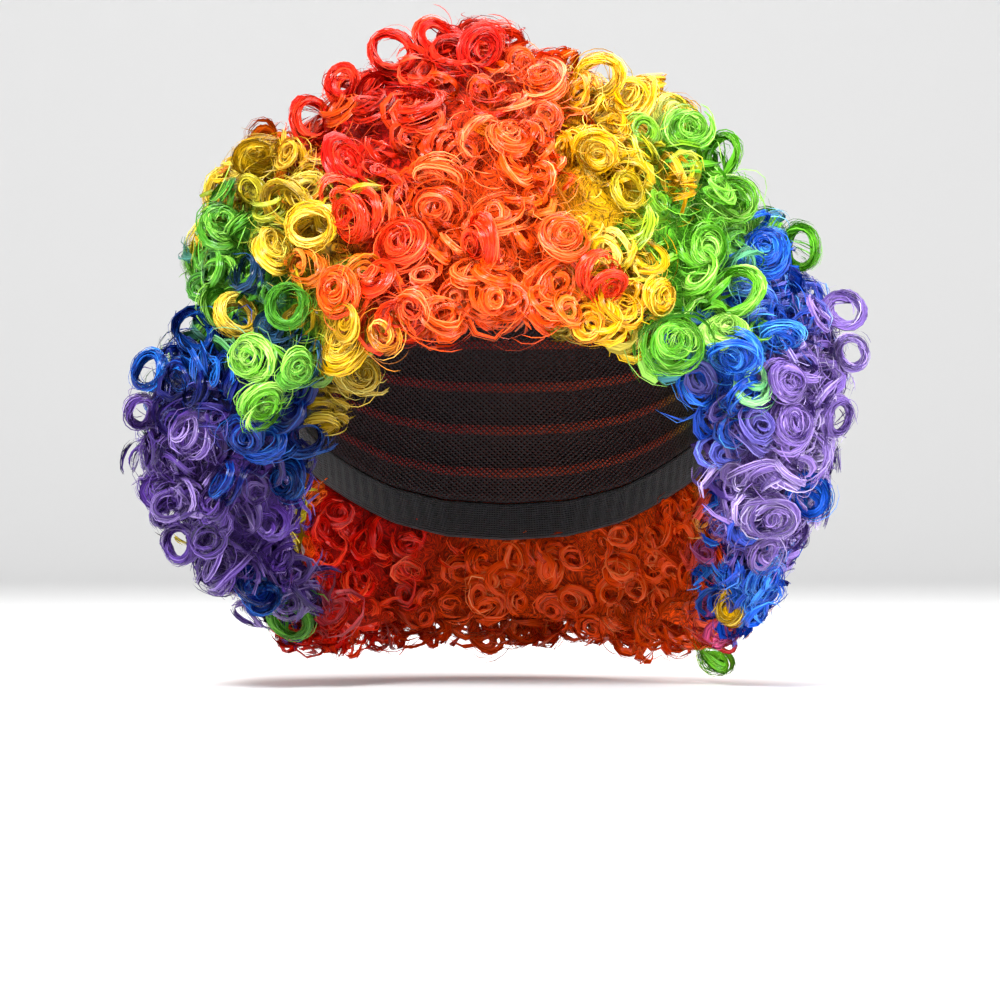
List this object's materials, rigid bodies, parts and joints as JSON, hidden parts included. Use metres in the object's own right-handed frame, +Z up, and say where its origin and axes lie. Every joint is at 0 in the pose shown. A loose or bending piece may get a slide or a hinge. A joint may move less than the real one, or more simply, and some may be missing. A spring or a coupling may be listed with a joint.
{
  "type": "clown wig",
  "caption": "Rainbow clown wig: a fitted net cap with an elastic edge, covered in short glossy ringlets that change colour in bands round each ear.",
  "frame": {"origin": "inside of the cap's crown, where the wig sits on the top of a head", "axes": "+Z up, the face opening looks along -Y, +X is to the right of someone who looks at the face"},
  "size_m": [0.2704, 0.2599, 0.246],
  "materials": {
    "net": "black stretch net, matt",
    "elastic": "ribbed elastic band, matt",
    "red_hair": "glossy synthetic hair",
    "orange_hair": "glossy synthetic hair",
    "yellow_hair": "glossy synthetic hair",
    "green_hair": "glossy synthetic hair",
    "blue_hair": "glossy synthetic hair",
    "purple_hair": "glossy synthetic hair"
  },
  "bodies": {
    "root": {"net_cap": "net", "elastic_edge": "elastic", "red_curls": "red_hair", "orange_curls_left": "orange_hair", "orange_curls_right": "orange_hair", "yellow_curls_left": "yellow_hair", "yellow_curls_right": "yellow_hair", "green_curls_left": "green_hair", "green_curls_right": "green_hair", "blue_curls_left": "blue_hair", "blue_curls_right": "blue_hair", "purple_curls_left": "purple_hair", "purple_curls_right": "purple_hair"}
  },
  "joints": []
}
